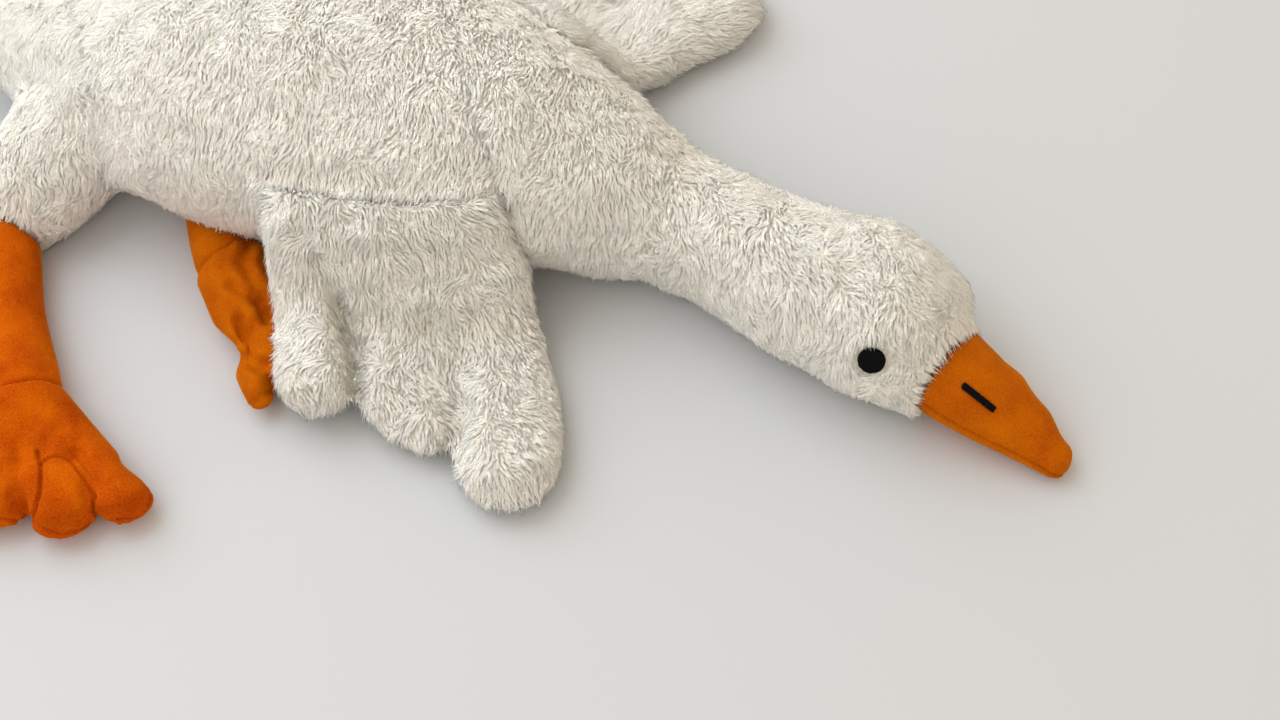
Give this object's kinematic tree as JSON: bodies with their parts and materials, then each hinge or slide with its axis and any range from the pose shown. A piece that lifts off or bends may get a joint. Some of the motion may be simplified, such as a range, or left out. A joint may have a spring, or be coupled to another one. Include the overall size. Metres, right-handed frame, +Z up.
{
  "type": "plush goose",
  "caption": "Floppy stuffed goose lying on its belly with spread wings: white pile plush body, orange velour bill, legs and webbed feet, embroidered eyes and nostrils.",
  "frame": {"origin": "middle of the goose's box on plan, on the surface that it lies on", "axes": "+X along the body towards the bill, +Y towards the goose's left wing, +Z up"},
  "size_m": [0.4992, 0.341, 0.0881],
  "materials": {
    "white_plush": "matte pile",
    "orange_velour": "matte short nap",
    "black_thread": "satin stitch"
  },
  "bodies": {
    "root": {"body": "white_plush", "head_and_neck": "white_plush", "right_wing": "white_plush", "left_wing": "white_plush", "right_thigh": "white_plush", "left_thigh": "white_plush", "right_leg": "orange_velour", "left_leg": "orange_velour", "right_foot": "orange_velour", "left_foot": "orange_velour", "bill_upper": "orange_velour", "bill_lower": "orange_velour", "right_eye": "black_thread", "left_eye": "black_thread", "right_nostril": "black_thread", "left_nostril": "black_thread"}
  },
  "joints": []
}
